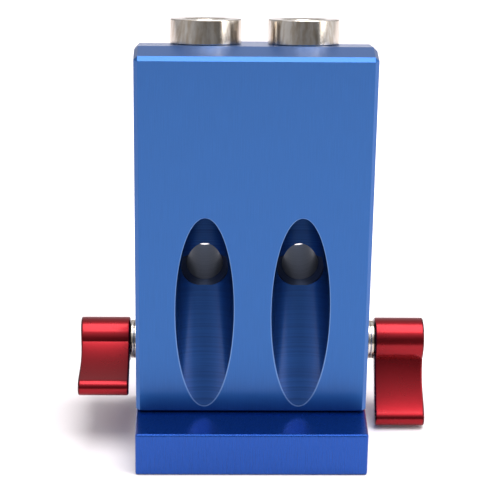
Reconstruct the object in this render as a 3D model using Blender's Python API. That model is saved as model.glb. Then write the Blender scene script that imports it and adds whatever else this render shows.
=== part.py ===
"""Pocket hole jig with two guide bushes and a sliding edge stop.

A block of anodised aluminium guides a stepped drill at a shallow angle into the face of a board.
Two hardened bushes stand on its sloping top, their bores run out of the front face as two long
oval pockets, and a chip port leads out of the back of each bore. The edge stop is a foot plate
with two slotted arms that slide in the rear corners of the block. A threaded stud runs through
each slot, and a toothed clamp lever on the stud grips the arm.

Lengths are in metres. +Z is up, the front face looks along -Y, and the origin lies on the
underside of the foot plate, in the middle of its width, below the front face of the block.
"""

import math

import bmesh
import bpy
import numpy as np
from mathutils import Matrix, Vector

# General clearances and the sizes of the facets
seat_gap = 0.0003
running_gap = 0.00015
overrun = 0.002
round_steps = 48
small_round_steps = 32
smooth_angle = math.radians(14)

# Drill block
block_width = 0.061
block_height = 0.0994
block_depth = 0.032
flat_top_depth = 0.0086
edge_chamfer = 0.001
base_chamfer = 0.0005

# Drill bores, their oval pockets and the chip ports
drill_angle = math.radians(16.2)
drill_spacing = 0.025
bore_diameter = 0.0151
drill_exit_height = 0.0289
pocket_rim = 0.00015
port_diameter = 0.0095
port_height = 0.0389
port_lip_diameter = 0.0122
port_lip_depth = 0.0089

# Guide bushes and the set screws that hold them
bush_bore = 0.0095
bush_mouth = 0.0127
bush_mouth_depth = 0.0016
bush_head_diameter = 0.0183
bush_head_height = 0.0064
bush_body_length = 0.020
bush_edge = 0.0003
set_screw_diameter = 0.004
set_screw_length = 0.006
set_screw_depth = 0.010
set_screw_key = 0.002
set_screw_key_depth = 0.0018

# Foot plate of the edge stop
foot_thickness = 0.0121
foot_reach = 0.012
foot_edge = 0.0006
foot_edge_steps = 3
arm_seat_depth = 0.0025

# Slotted arms and the screws under the foot plate
arm_width = 0.0082
arm_depth = 0.0092
stop_travel = 0.038
arm_end_wall = 0.004
arm_edge = 0.0005
foot_screw_thread = 0.004
foot_screw_head = 0.007
foot_screw_head_height = 0.004
foot_screw_recess = 0.0005
foot_screw_grip = 0.0031
foot_screw_key = 0.003
foot_screw_key_depth = 0.002

# Clamp studs and washers, measured outwards along the stud from the side of the block
clamp_height = 0.0077
stud_thread = 0.005
stud_grip = 0.011
collar_diameter = 0.0106
collar_thickness = 0.0009
washer_thickness = 0.0006
washer_bore = 0.0055
backed_off_left = 0.0
backed_off_right = 0.0016
tooth_count = 24
tooth_tip_radius = 0.0042
tooth_depth = 0.0006
tooth_length = 0.0022
tooth_gap = 0.0002

# Clamp levers
lever_width = 0.0135
hub_radius = 0.0061
bead_radius = 0.00225
bead_distance = 0.0216
front_crease_angle = math.radians(18.3)
back_crease_angle = math.radians(29)
front_scoop_radius = 0.0455
back_scoop_radius = 0.050
front_blend_angle = math.radians(11)
back_blend_angle = math.radians(8)
lever_edge = 0.00035
lever_waist = 0.00035
lever_angle_left = math.radians(80.5)
lever_angle_right = math.radians(37)
web_start = 0.0026
web_thickness = 0.0016
web_bore = 0.0044
spring_pocket = 0.0084

# Shoulder screw and return spring inside each lever
shoulder_diameter = 0.004
shoulder_thread = 0.003
shoulder_thread_length = 0.005
screw_head_diameter = 0.0076
screw_head_height = 0.0022
screw_key = 0.0025
screw_key_depth = 0.0013
spring_length = 0.0050
spring_diameter = 0.0062
spring_wire = 0.0006
spring_turns = 3.5

# Places that follow from the sizes above
half_width = block_width / 2
base_z = foot_thickness + seat_gap
bore_x = drill_spacing / 2
back_width = block_width - 2 * (arm_width + seat_gap)
shoulder_depth = block_depth - arm_depth - seat_gap
arm_x = half_width - arm_width / 2
arm_y = block_depth - arm_depth / 2
clamp_z = base_z + clamp_height
slot_radius = stud_thread / 2 + seat_gap
slot_low = clamp_height + seat_gap
slot_high = slot_low + stop_travel
arm_height = slot_high + slot_radius + arm_end_wall
washer_start = seat_gap
collar_start = washer_start + washer_thickness + running_gap
collar_end = collar_start + collar_thickness
lever_face = collar_end + running_gap
teeth_end = lever_face + tooth_length
stud_end = -(arm_width + seat_gap) - stud_grip
pocket_floor = lever_face + web_start + web_thickness
screw_head_start = pocket_floor + spring_length + 2 * seat_gap
bore_axis = Vector((0, math.sin(drill_angle), math.cos(drill_angle)))


def clear_scene():
    """Remove every object that the file opened with."""
    for obj in list(bpy.data.objects):
        bpy.data.objects.remove(obj)


def make_material(name, colour, roughness, metallic):
    """A Principled material with a base colour, a roughness and a metallic value."""
    material = bpy.data.materials.new(name)
    material.use_nodes = True
    shader = material.node_tree.nodes["Principled BSDF"]
    shader.inputs["Base Color"].default_value = (*colour, 1)
    shader.inputs["Roughness"].default_value = roughness
    shader.inputs["Metallic"].default_value = metallic
    material.diffuse_color = (*colour, 1)
    return material


def make_mesh(name, bm):
    """Turn a finished bmesh into a mesh with outward normals and smooth round faces."""
    bmesh.ops.recalc_face_normals(bm, faces=bm.faces)
    mesh = bpy.data.meshes.new(name)
    bm.to_mesh(mesh)
    bm.free()
    mesh.shade_smooth()
    mesh.set_sharp_from_angle(angle=smooth_angle)
    return mesh


def add_object(name, mesh, material=None, parent=None, matrix=None):
    """Link a mesh into the scene under its parent."""
    obj = bpy.data.objects.new(name, mesh)
    bpy.context.collection.objects.link(obj)
    if material and not mesh.materials:
        mesh.materials.append(material)
    obj.parent = parent
    if matrix:
        obj.matrix_local = matrix
    return obj


def add_empty(name, location, turn=0.0, parent=None):
    """An empty that marks a joint's axis: its own X points away from the block."""
    empty = bpy.data.objects.new(name, None)
    bpy.context.collection.objects.link(empty)
    empty.empty_display_size = hub_radius
    empty.parent = parent
    empty.location = location
    empty.rotation_euler = (0, 0, turn)
    return empty


def prism(outline, axis, low, high):
    """A straight extrusion of a closed outline, given in the two axes that follow the axis."""
    bm = bmesh.new()
    order = {"X": (2, 0, 1), "Y": (1, 2, 0), "Z": (0, 1, 2)}[axis]
    corners = []
    for first, second in outline:
        local = (first, second, low)
        corners.append(bm.verts.new([local[i] for i in order]))
    face = bm.faces.new(corners)
    top = bmesh.ops.extrude_face_region(bm, geom=[face])["geom"]
    along = Vector([(0, 0, high - low)[i] for i in order])
    bmesh.ops.translate(bm, vec=along, verts=[g for g in top if isinstance(g, bmesh.types.BMVert)])
    return bm


def box(low, high):
    """A block between two corners."""
    outline = [(low[0], low[1]), (high[0], low[1]), (high[0], high[1]), (low[0], high[1])]
    return prism(outline, "Z", low[2], high[2])


def circle(radius, steps, centre=(0, 0)):
    """Points of a circle in a plane."""
    angles = np.linspace(0, math.tau, steps, endpoint=False)
    return [(centre[0] + radius * math.cos(a), centre[1] + radius * math.sin(a)) for a in angles]


def hexagon(across_flats):
    """Points of a hexagonal key socket."""
    return circle(across_flats / math.sqrt(3), 6)


def star(tip, root, count):
    """Outline of a ring of pointed teeth."""
    points = []
    for step in range(2 * count):
        angle = math.tau * step / (2 * count)
        radius = root if step % 2 else tip
        points.append((radius * math.cos(angle), radius * math.sin(angle)))
    return points


def turned(profile, steps=round_steps):
    """Spin a closed profile of (radius, height along X) once round the X axis."""
    bm = bmesh.new()
    ring = [bm.verts.new((height, 0, radius)) for radius, height in profile]
    edges = [bm.edges.new((ring[i - 1], ring[i])) for i in range(len(ring))]
    on_axis = [e for e in edges if all(v.co.z == 0 for v in e.verts)]
    bmesh.ops.delete(bm, geom=on_axis, context="EDGES_FACES") if on_axis else None
    bmesh.ops.spin(
        bm,
        geom=bm.verts[:] + bm.edges[:],
        cent=(0, 0, 0),
        axis=(1, 0, 0),
        angle=math.tau,
        steps=steps,
        use_merge=True,
    )
    bmesh.ops.remove_doubles(bm, verts=bm.verts, dist=seat_gap / 100)
    return bm


def rod(radius, low, high, edge=0.0, steps=small_round_steps):
    """A solid cylinder along X, chamfered at its far end when an edge size is given."""
    profile = [(0, low), (radius, low)]
    profile += [(radius, high - edge), (radius - edge, high), (0, high)] if edge else [(radius, high), (0, high)]
    return turned(profile, steps)


def chamfer(bm, size, wanted, steps=1):
    """Cut a flat chamfer, or round with more steps, along the edges for which wanted(edge) is true."""
    edges = [e for e in bm.edges if wanted(e)]
    bmesh.ops.bevel(
        bm, geom=edges, offset=size, offset_type="OFFSET", segments=steps, profile=0.5, affect="EDGES"
    )
    return bm


def carve(body, cutters):
    """Cut each (bmesh, matrix) out of the body's mesh with exact Booleans and keep the result."""
    tools = []
    for number, (bm, matrix) in enumerate(cutters):
        tool = add_object(body.name + "_cutter_" + str(number), make_mesh("cutter", bm))
        tool.matrix_world = matrix
        tool.hide_render = True
        tool.display_type = "WIRE"
        modifier = body.modifiers.new(tool.name, "BOOLEAN")
        modifier.operation = "DIFFERENCE"
        modifier.solver = "EXACT"
        modifier.object = tool
        tools.append(tool)
    bpy.context.view_layer.update()
    depsgraph = bpy.context.evaluated_depsgraph_get()
    mesh = bpy.data.meshes.new_from_object(body.evaluated_get(depsgraph))
    body.modifiers.clear()
    body.data = mesh
    mesh.shade_smooth()
    mesh.set_sharp_from_angle(angle=smooth_angle)
    for tool in tools:
        bpy.data.objects.remove(tool)
    return body


def sloping_top(y):
    """Height of the top face above the base of the block: flat in front, then square to the bores."""
    return block_height - max(0.0, y - flat_top_depth) * math.tan(drill_angle)


def bore_place(x, along):
    """Point on a bore's axis, at a distance along it from where it leaves the front face."""
    return Vector((x, 0, drill_exit_height)) + along * bore_axis


def bush_seat_distance():
    """Distance along the bore's axis from the front face up to the sloping top."""
    rise = block_height - drill_exit_height + flat_top_depth * math.tan(drill_angle)
    return rise * math.cos(drill_angle)


def along_bore(x, along):
    """Placement of a piece turned about X, so that it stands on the bore's axis."""
    tilt = Matrix.Rotation(math.pi / 2 - drill_angle, 4, "X") @ Matrix.Rotation(math.pi / 2, 4, "Z")
    return Matrix.Translation(bore_place(x, along)) @ tilt


def along_depth(x, y, z):
    """Placement of a piece turned about X, so that it points to the back of the block."""
    return Matrix.Translation((x, y, z)) @ Matrix.Rotation(math.pi / 2, 4, "Z")


def oval_rim(x):
    """Flared oval that breaks the sharp edge where a bore leaves the front face."""
    half_short = bore_diameter / 2
    half_long = half_short / math.sin(drill_angle)
    angles = np.linspace(0, math.tau, 2 * round_steps, endpoint=False)
    bm = bmesh.new()
    rings = []
    for y, grow, lift in (
        (-overrun, pocket_rim, 0),
        (0, pocket_rim, 0),
        (2 * pocket_rim, -pocket_rim, 2 * pocket_rim / math.tan(drill_angle)),
    ):
        ring = []
        for angle in angles:
            px = x + (half_short + grow) * math.cos(angle)
            pz = drill_exit_height + lift + (half_long + grow) * math.sin(angle)
            ring.append(bm.verts.new((px, y, pz)))
        rings.append(ring)
    for low, high in zip(rings, rings[1:]):
        bridge_rings(bm, low, high)
    bm.faces.new(rings[0])
    bm.faces.new(rings[-1])
    return bm


def bridge_rings(bm, first, second):
    """Quads between two closed rings with the same number of corners."""
    for i in range(len(first)):
        bm.faces.new((first[i - 1], first[i], second[i], second[i - 1]))


def drill_block(material, parent):
    """The body: a stepped plan, a sloping top and chamfered outer edges, then every hole in it."""
    side = back_width / 2
    plan = [
        (-half_width, 0), (half_width, 0), (half_width, flat_top_depth), (half_width, shoulder_depth),
        (side, shoulder_depth), (side, block_depth), (-side, block_depth), (-side, shoulder_depth),
        (-half_width, shoulder_depth), (-half_width, flat_top_depth),
    ]
    bm = bmesh.new()
    lower = [bm.verts.new((x, y, 0)) for x, y in plan]
    upper = [bm.verts.new((x, y, sloping_top(y))) for x, y in plan]
    bridge_rings(bm, lower, upper)
    bm.faces.new(lower)
    flat_corners = [i for i, (x, y) in enumerate(plan) if y <= flat_top_depth]
    slope_corners = [i for i, (x, y) in enumerate(plan) if y >= flat_top_depth]
    bm.faces.new([upper[i] for i in flat_corners])
    bm.faces.new([upper[i] for i in slope_corners])
    bmesh.ops.recalc_face_normals(bm, faces=bm.faces)
    bmesh.ops.dissolve_limit(
        bm, angle_limit=drill_angle / 8, verts=bm.verts, edges=bm.edges, use_dissolve_boundaries=False
    )

    def outer_edge(edge):
        return edge.is_manifold and edge.calc_face_angle_signed(0) > 2 * drill_angle

    chamfer(bm, edge_chamfer, lambda e: outer_edge(e) and max(v.co.z for v in e.verts) > 0)
    chamfer(bm, base_chamfer, lambda e: outer_edge(e) and max(v.co.z for v in e.verts) == 0)
    body = add_object("drill_block", make_mesh("drill_block", bm), material)

    bore_radius = bore_diameter / 2
    seat = bush_seat_distance()
    below = bore_radius / math.tan(drill_angle) + overrun
    cutters = []
    for x in (-bore_x, bore_x):
        cutters.append((rod(bore_radius, -below, seat + overrun, steps=round_steps), along_bore(x, 0)))
        port_start = (port_height - drill_exit_height) * math.tan(drill_angle)
        port = rod(port_diameter / 2, 0, block_depth - port_start + overrun, steps=round_steps)
        cutters.append((port, along_depth(x, port_start, port_height)))
        cutters.append((port_lip(), along_depth(x, 0, port_height)))
        cutters.append((oval_rim(x), Matrix.Identity(4)))
        screw = bush_screw_place(x)
        hole = rod(set_screw_diameter / 2 + running_gap, 0, block_depth - screw.y + overrun)
        cutters.append((hole, along_depth(*screw)))
    for turn in (0.0, math.pi):
        hole = rod(stud_thread / 2 + seat_gap, side - stud_grip - seat_gap, half_width + overrun)
        place = Matrix.Translation((0, arm_y, clamp_height)) @ Matrix.Rotation(turn, 4, "Z")
        cutters.append((hole, place))
    carve(body, cutters)
    body.parent = parent
    return body


def port_lip():
    """Cone that breaks the edge where a chip port enters the bore, with a cylinder in front of it."""
    outer = port_lip_diameter / 2
    inner = port_diameter / 2 - running_gap
    end = port_lip_depth + outer - inner
    return turned([(0, -overrun), (outer, -overrun), (outer, port_lip_depth), (inner, end), (0, end)])


def bush_screw_place(x):
    """Point on the bore's axis that a bush's set screw aims at."""
    return bore_place(x, bush_seat_distance() - set_screw_depth)


def guide_bush(material):
    """Headed drill bush, turned about X, with the underside of its head at zero."""
    outer = bush_head_diameter / 2
    body = bore_diameter / 2 - seat_gap
    bore = bush_bore / 2
    top = bush_head_height
    foot = -bush_body_length
    profile = [
        (bore, foot), (body - bush_edge, foot), (body, foot + bush_edge), (body, running_gap),
        (outer - bush_edge, running_gap), (outer, running_gap + bush_edge), (outer, top - bush_edge),
        (outer - bush_edge, top), (bush_mouth / 2, top),
    ]
    lead = np.linspace(0, math.pi / 2, 8)[1:]
    for angle in lead:
        radius = bore + (bush_mouth / 2 - bore) * (1 - math.sin(angle))
        profile.append((radius, top - bush_mouth_depth * (1 - math.cos(angle))))
    mesh = make_mesh("guide_bush", turned(profile))
    mesh.materials.append(material)
    return mesh


def socket_screw(name, profile, key, key_depth, head_face, material, towards=1):
    """A turned screw with a hexagonal key socket sunk in its end face."""
    body = add_object(name, make_mesh(name, turned(profile, small_round_steps)), material)
    low, high = sorted((head_face - towards * key_depth, head_face + towards * overrun))
    carve(body, [(prism(hexagon(key), "X", low, high), Matrix.Identity(4))])
    return body


def edge_stop(blue, black):
    """Foot plate, its two slotted arms and the screws that hold them."""
    low = (-half_width, -foot_reach, 0)
    high = (half_width, block_depth, foot_thickness)
    bm = chamfer(box(low, high), foot_edge, lambda e: True, foot_edge_steps)
    foot = add_object("foot_plate", make_mesh("foot_plate", bm), blue)
    head_seat = foot_screw_recess + foot_screw_head_height + seat_gap
    cutters = []
    for sign in (-1, 1):
        inner = sign * (arm_x - arm_width / 2 - seat_gap)
        outer = sign * (half_width + overrun)
        x_low, x_high = sorted((inner, outer))
        notch_low = (x_low, arm_y - arm_depth / 2 - seat_gap, foot_thickness - arm_seat_depth)
        notch_high = (x_high, block_depth + overrun, foot_thickness + overrun)
        cutters.append((box(notch_low, notch_high), Matrix.Identity(4)))
        stand = Matrix.Translation((sign * arm_x, arm_y, 0)) @ Matrix.Rotation(-math.pi / 2, 4, "Y")
        cutters.append((rod(foot_screw_thread / 2 + seat_gap, -overrun, foot_thickness), stand))
        cutters.append((rod(foot_screw_head / 2 + seat_gap, -overrun, head_seat), stand))
    carve(foot, cutters)
    for side, sign in (("left", -1), ("right", 1)):
        slide_arm("slide_arm_" + side, sign, blue)
        foot_screw("foot_screw_" + side, sign, black)


def slide_arm(name, sign, material):
    """Slotted arm in a rear corner, seated in its notch in the foot plate."""
    start = foot_thickness - arm_seat_depth + seat_gap
    low = (sign * arm_x - arm_width / 2, arm_y - arm_depth / 2, start)
    high = (sign * arm_x + arm_width / 2, arm_y + arm_depth / 2, foot_thickness + arm_height)
    bm = chamfer(box(low, high), arm_edge, lambda e: True)
    arm = add_object(name, make_mesh(name, bm), material)
    half = np.linspace(0, math.pi, small_round_steps // 2 + 1)
    upper = [(arm_y + slot_radius * math.cos(a), slot_high + slot_radius * math.sin(a)) for a in half]
    lower = [(arm_y - slot_radius * math.cos(a), slot_low - slot_radius * math.sin(a)) for a in half]
    outline = [(y, foot_thickness + z) for y, z in upper + lower]
    slot = prism(outline, "X", low[0] - overrun, high[0] + overrun)
    stand = Matrix.Translation((sign * arm_x, arm_y, 0)) @ Matrix.Rotation(-math.pi / 2, 4, "Y")
    hole_end = foot_thickness + foot_screw_grip + seat_gap
    thread = rod(foot_screw_thread / 2 + running_gap, foot_thickness - arm_seat_depth - overrun, hole_end)
    carve(arm, [(slot, Matrix.Identity(4)), (thread, stand)])
    return arm


def foot_screw(name, sign, material):
    """Cap screw that holds an arm, its head sunk in the underside of the foot plate."""
    head = foot_screw_head / 2
    shank = foot_screw_thread / 2
    low = foot_screw_recess
    high = low + foot_screw_head_height
    end = foot_thickness + foot_screw_grip
    profile = [
        (0, low), (head - seat_gap, low), (head, low + seat_gap), (head, high),
        (shank, high), (shank, end - seat_gap), (shank - seat_gap, end), (0, end),
    ]
    screw = socket_screw(name, profile, foot_screw_key, foot_screw_key_depth, low, material, towards=-1)
    screw.matrix_world = Matrix.Translation((sign * arm_x, arm_y, 0)) @ Matrix.Rotation(-math.pi / 2, 4, "Y")
    return screw


def clamp_stud(material):
    """Threaded stud with a collar and a toothed end, bored for the lever's shoulder screw."""
    thread = stud_thread / 2
    collar = collar_diameter / 2
    hole = shoulder_thread / 2 + running_gap
    hole_end = teeth_end - shoulder_thread_length - seat_gap
    profile = [
        (0, stud_end), (thread - seat_gap, stud_end), (thread, stud_end + seat_gap), (thread, collar_start),
        (collar - running_gap, collar_start), (collar, collar_start + running_gap),
        (collar, collar_end - running_gap), (collar - running_gap, collar_end),
        (tooth_tip_radius, collar_end), (tooth_tip_radius, teeth_end), (hole, teeth_end),
        (hole, hole_end), (0, hole_end),
    ]
    stud = add_object("stud_blank", make_mesh("clamp_stud", turned(profile)), material)
    teeth = star(tooth_tip_radius + running_gap, tooth_tip_radius - tooth_depth, tooth_count)
    ring = prism(circle(collar, round_steps), "X", lever_face, teeth_end + overrun)
    blank = add_object("tooth_ring", make_mesh("tooth_ring", ring))
    carve(blank, [(prism(teeth, "X", lever_face - overrun, teeth_end + 2 * overrun), Matrix.Identity(4))])
    bm = bmesh.new()
    bm.from_mesh(blank.data)
    bpy.data.objects.remove(blank)
    carve(stud, [(bm, Matrix.Identity(4))])
    return take_mesh(stud)


def take_mesh(obj):
    """Keep a finished piece's mesh and drop the object that carried it."""
    mesh = obj.data
    bpy.data.objects.remove(obj)
    return mesh


def washer(material):
    """Plain washer between the arm and the collar of the stud."""
    low = washer_start
    high = low + washer_thickness
    profile = [
        (washer_bore / 2, low), (collar_diameter / 2, low), (collar_diameter / 2, high), (washer_bore / 2, high)
    ]
    mesh = make_mesh("clamp_washer", turned(profile))
    mesh.materials.append(material)
    return mesh


def arc_between(start, end, radius, count):
    """Points of an arc from start to end that sags to the side of smaller second coordinates."""
    chord = np.subtract(end, start)
    length = np.hypot(*chord)
    towards = chord / length
    normal = np.array((-towards[1], towards[0]))
    centre = np.add(start, end) / 2 + normal * math.sqrt(radius**2 - (length / 2) ** 2)
    first = math.atan2(*(np.subtract(start, centre)[::-1]))
    last = math.atan2(*(np.subtract(end, centre)[::-1]))
    angles = np.linspace(first, last, count)
    return np.stack((centre[0] + radius * np.cos(angles), centre[1] + radius * np.sin(angles)), axis=1)


def lever_side(crease_angle, scoop_radius, blend_angle):
    """One side of the lever, from the crown of its hub to the tip of its bead.

    Points are (reach from the axis, sideways). The hub's arc ends in a crease, a shallow scoop runs
    from there to the bead, and the bead's arc closes the tip.
    """
    hub = np.linspace(math.pi, crease_angle, 18)
    points = [(hub_radius * math.cos(a), hub_radius * math.sin(a)) for a in hub]
    bead = np.linspace(math.pi / 2 + blend_angle, 0, 10)
    tip = [(bead_distance + bead_radius * math.cos(a), bead_radius * math.sin(a)) for a in bead]
    scoop = arc_between(points[-1], tip[0], scoop_radius, 9)
    return np.array(points + [tuple(p) for p in scoop[1:-1]] + tip)


def inset_outline(points, distance):
    """Move each corner of a closed outline inwards along the mean of its two edge normals."""
    before = points - np.roll(points, 1, axis=0)
    after = np.roll(points, -1, axis=0) - points
    before /= np.linalg.norm(before, axis=1)[:, None]
    after /= np.linalg.norm(after, axis=1)[:, None]
    mean = before + after
    mean /= np.linalg.norm(mean, axis=1)[:, None]
    inward = np.stack((-mean[:, 1], mean[:, 0]), axis=1)
    area = np.sum(points[:, 0] * np.roll(points[:, 1], -1) - np.roll(points[:, 0], -1) * points[:, 1])
    return points + inward * distance * np.sign(area)


def clamp_lever(material):
    """Comma-shaped lever, with a toothed seat on its inner side and the spring pocket outside."""
    front = lever_side(front_crease_angle, front_scoop_radius, front_blend_angle)
    back = lever_side(back_crease_angle, back_scoop_radius, back_blend_angle) * (1, -1)
    outline = np.concatenate((front, back[-2:0:-1]))
    small = inset_outline(outline, lever_edge)
    count = len(outline)
    bm = bmesh.new()
    outer = lever_face + lever_width
    rings = []
    for points, x, waisted in (
        (small, lever_face, 0), (outline, lever_face + lever_edge, 0),
        (outline, outer - lever_edge, 1), (small, outer, 1),
    ):
        reach = np.clip(points[:, 0] / bead_distance, 0, 1)
        place = x - waisted * lever_waist * np.sin(math.pi * reach) ** 2
        rings.append([bm.verts.new((px, -w, -u)) for px, (u, w) in zip(place, points)])
    for low, high in zip(rings, rings[1:]):
        bridge_rings(bm, low, high)
    for ring in (rings[0], rings[-1]):
        for i in range(1, len(front)):
            corners = [ring[i - 1], ring[i], ring[(count - i) % count], ring[(count - i + 1) % count]]
            bm.faces.new(list(dict.fromkeys(corners)))
    bmesh.ops.triangulate(bm, faces=bm.faces)
    lever = add_object("lever_blank", make_mesh("clamp_lever", bm), material)
    teeth = star(
        tooth_tip_radius + running_gap + tooth_gap, tooth_tip_radius - tooth_depth + tooth_gap, tooth_count
    )
    carve(lever, [
        (prism(teeth, "X", lever_face - overrun, lever_face + web_start), Matrix.Identity(4)),
        (rod(web_bore / 2, lever_face, outer), Matrix.Identity(4)),
        (rod(spring_pocket / 2, pocket_floor, outer + overrun, steps=round_steps), Matrix.Identity(4)),
    ])
    return take_mesh(lever)


def shoulder_screw(material):
    """Shoulder screw that keeps the lever and its spring on the stud."""
    head = screw_head_diameter / 2
    shoulder = shoulder_diameter / 2
    thread = shoulder_thread / 2
    start = teeth_end + running_gap
    tip = teeth_end - shoulder_thread_length
    end = screw_head_start + screw_head_height
    profile = [
        (0, tip), (thread, tip), (thread, start), (shoulder, start), (shoulder, screw_head_start),
        (head, screw_head_start), (head, end - running_gap), (head - running_gap, end), (0, end),
    ]
    return take_mesh(socket_screw("screw_blank", profile, screw_key, screw_key_depth, end, material))


def return_spring(material):
    """Compression spring wound round the shoulder screw, between the lever's web and the head."""
    wire = spring_wire / 2
    low = pocket_floor + seat_gap + wire
    high = screw_head_start - seat_gap - wire
    points_per_turn = 12
    count = int(spring_turns * points_per_turn) + 1
    turns = np.linspace(0, spring_turns, count)
    closed = 0.5
    rise = np.clip((turns - closed) / (spring_turns - 2 * closed), 0, 1)
    radius = spring_diameter / 2 - wire
    curve = bpy.data.curves.new("return_spring", "CURVE")
    curve.dimensions = "3D"
    curve.bevel_depth = wire
    curve.bevel_resolution = 1
    curve.use_fill_caps = True
    spline = curve.splines.new("POLY")
    spline.points.add(count - 1)
    for point, turn, share in zip(spline.points, turns, rise):
        angle = math.tau * turn
        x = low + (high - low) * share
        point.co = (x, radius * math.cos(angle), radius * math.sin(angle), 1)
    curve.materials.append(material)
    return curve


def build():
    """Make every piece at rest: the stop on the ground and the block down on the foot plate."""
    clear_scene()
    blue = make_material("blue_anodised_aluminium", (0.045, 0.14, 0.43), 0.42, 1.0)
    red = make_material("red_anodised_aluminium", (0.44, 0.02, 0.035), 0.36, 1.0)
    steel = make_material("turned_steel", (0.60, 0.57, 0.54), 0.28, 1.0)
    black = make_material("black_oxide_steel", (0.05, 0.05, 0.055), 0.45, 0.9)
    wire = make_material("spring_steel", (0.52, 0.52, 0.54), 0.3, 1.0)

    edge_stop(blue, black)
    block_place = add_empty("block_slide_axis", (0, 0, base_z))
    drill_block(blue, block_place)

    bush = guide_bush(steel)
    for side, x in (("left", -bore_x), ("right", bore_x)):
        add_object("drill_bush_" + side, bush, steel, block_place, along_bore(x, bush_seat_distance()))
        aim = bush_screw_place(x)
        radius = set_screw_diameter / 2
        bush_back = aim.y + (bore_diameter / 2 - seat_gap) / math.cos(drill_angle)
        start = bush_back + radius * math.tan(drill_angle) + seat_gap
        end = start + set_screw_length
        profile = [
            (0, start), (radius - seat_gap, start), (radius, start + seat_gap), (radius, end - seat_gap),
            (radius - seat_gap, end), (0, end),
        ]
        name = "bush_set_screw_" + side
        screw = socket_screw(name, profile, set_screw_key, set_screw_key_depth, end, black)
        screw.parent = block_place
        screw.matrix_local = along_depth(x, 0, aim.z)

    stud = clamp_stud(steel)
    ring = washer(steel)
    lever = clamp_lever(red)
    screw = shoulder_screw(black)
    spring = return_spring(wire)
    clamp_centre = (0, arm_y, clamp_height)
    for side, turn, angle, backed_off in (
        ("left", math.pi, lever_angle_left, backed_off_left),
        ("right", 0.0, -lever_angle_right, backed_off_right),
    ):
        axis = add_empty("clamp_axis_" + side, clamp_centre, turn, block_place)
        outward = Matrix.Translation((half_width + backed_off, 0, 0))
        pointing = outward @ Matrix.Rotation(angle, 4, "X")
        add_object("clamp_washer_" + side, ring, steel, axis, outward)
        add_object("clamp_stud_" + side, stud, steel, axis, pointing)
        add_object("clamp_lever_" + side, lever, red, axis, pointing)
        add_object("lever_screw_" + side, screw, black, axis, pointing)
        add_object("lever_spring_" + side, spring, wire, axis, pointing)


build()
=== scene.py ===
# %% [markdown]
# # Pocket hole jig: from plain CAD solids to a studio picture
#
# A pocket hole jig guides a drill into the face of a board at a shallow slant. This one is a blue
# anodised block with two steel guide bushes, a foot plate that stops the end of the board, and
# two red levers that clamp the block at its height. Its solids come packed with their bodies and
# joints. They could be modelled again here, but then nothing would tie the picture to the
# mechanism, so they are loaded as a fixed frame, and only their looks are made in this file.

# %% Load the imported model
import math

import bmesh
import bpy
import numpy as np
from mathutils import Matrix, Vector


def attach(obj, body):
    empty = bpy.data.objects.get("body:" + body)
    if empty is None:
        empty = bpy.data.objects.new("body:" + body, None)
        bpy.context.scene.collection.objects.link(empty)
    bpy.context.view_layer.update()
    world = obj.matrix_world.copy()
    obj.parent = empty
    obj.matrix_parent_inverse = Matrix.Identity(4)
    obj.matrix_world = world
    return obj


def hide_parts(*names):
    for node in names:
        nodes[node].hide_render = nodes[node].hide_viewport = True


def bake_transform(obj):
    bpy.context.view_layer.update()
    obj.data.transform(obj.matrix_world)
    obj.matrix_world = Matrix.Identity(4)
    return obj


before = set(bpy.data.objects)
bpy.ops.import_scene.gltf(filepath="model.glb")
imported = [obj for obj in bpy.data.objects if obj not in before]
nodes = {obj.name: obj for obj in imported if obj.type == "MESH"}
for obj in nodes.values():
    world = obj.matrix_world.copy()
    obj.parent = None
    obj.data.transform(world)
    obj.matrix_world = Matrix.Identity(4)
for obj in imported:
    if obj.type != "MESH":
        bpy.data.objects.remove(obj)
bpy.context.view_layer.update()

scene = bpy.context.scene
print("CAD nodes:", ", ".join(sorted(nodes)))

# %% [markdown]
# ## The camera
#
# The photograph was taken with a long lens, from a little over half a metre away and looking down
# by about 25 degrees. A camera could be placed by eye, but then edges and ovals never agree at
# the same time. So a pinhole camera was fitted to them, which gives its place, its three turns
# and its focal length in pixels. The picture is square.

# %% Set up the camera
pitch, yaw, roll = math.radians(24.70), math.radians(1.545), math.radians(0.864)
camera_place = (-0.01484, -0.51553, 0.29689)
focal_pixels, picture_pixels, sensor_width = 2212.6, 500, 36
level_forward = Vector((math.sin(yaw), math.cos(yaw), 0))
forward = level_forward * math.cos(pitch) - Vector((0, 0, math.sin(pitch)))
level = Vector((math.cos(yaw), -math.sin(yaw), 0))
upright = level.cross(forward)
right = level * math.cos(roll) + upright * math.sin(roll)
up = upright * math.cos(roll) - level * math.sin(roll)

camera = bpy.data.objects.new("camera", bpy.data.cameras.new("camera"))
scene.collection.objects.link(camera)
camera.data.sensor_width = sensor_width
camera.data.lens = focal_pixels * sensor_width / picture_pixels
camera.data.clip_start, camera.data.clip_end = 0.01, 20
facing = Matrix((right, up, -forward)).transposed().to_4x4()
camera.matrix_world = Matrix.Translation(camera_place) @ facing
scene.camera = camera
scene.view_settings.view_transform = "Standard"
print("camera lens", round(camera.data.lens, 1), "mm")

# %% [markdown]
# ## Nodes for the materials
#
# A finish is a small network: the place of a point feeds patterns, patterns feed colours, and
# all of it ends in one shader. It could be drawn by hand in the node editor. In code one function
# adds any node with its settings and links, and three more build on it what every finish here
# needs: a pattern with a real size, a tint between two colours, and a zone of the surface.

# %% Colours
def linear(code):
    """Linear RGBA of an sRGB hex code: c / 12.92 where dark, else ((c + 0.055) / 1.055) ** 2.4."""
    parts = [int(code[i : i + 2], 16) / 255 for i in (1, 3, 5)]
    return (*[p / 12.92 if p <= 0.04045 else ((p + 0.055) / 1.055) ** 2.4 for p in parts], 1.0)


print("mid grey is", round(linear("#808080")[0], 3), "in linear light")


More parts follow.
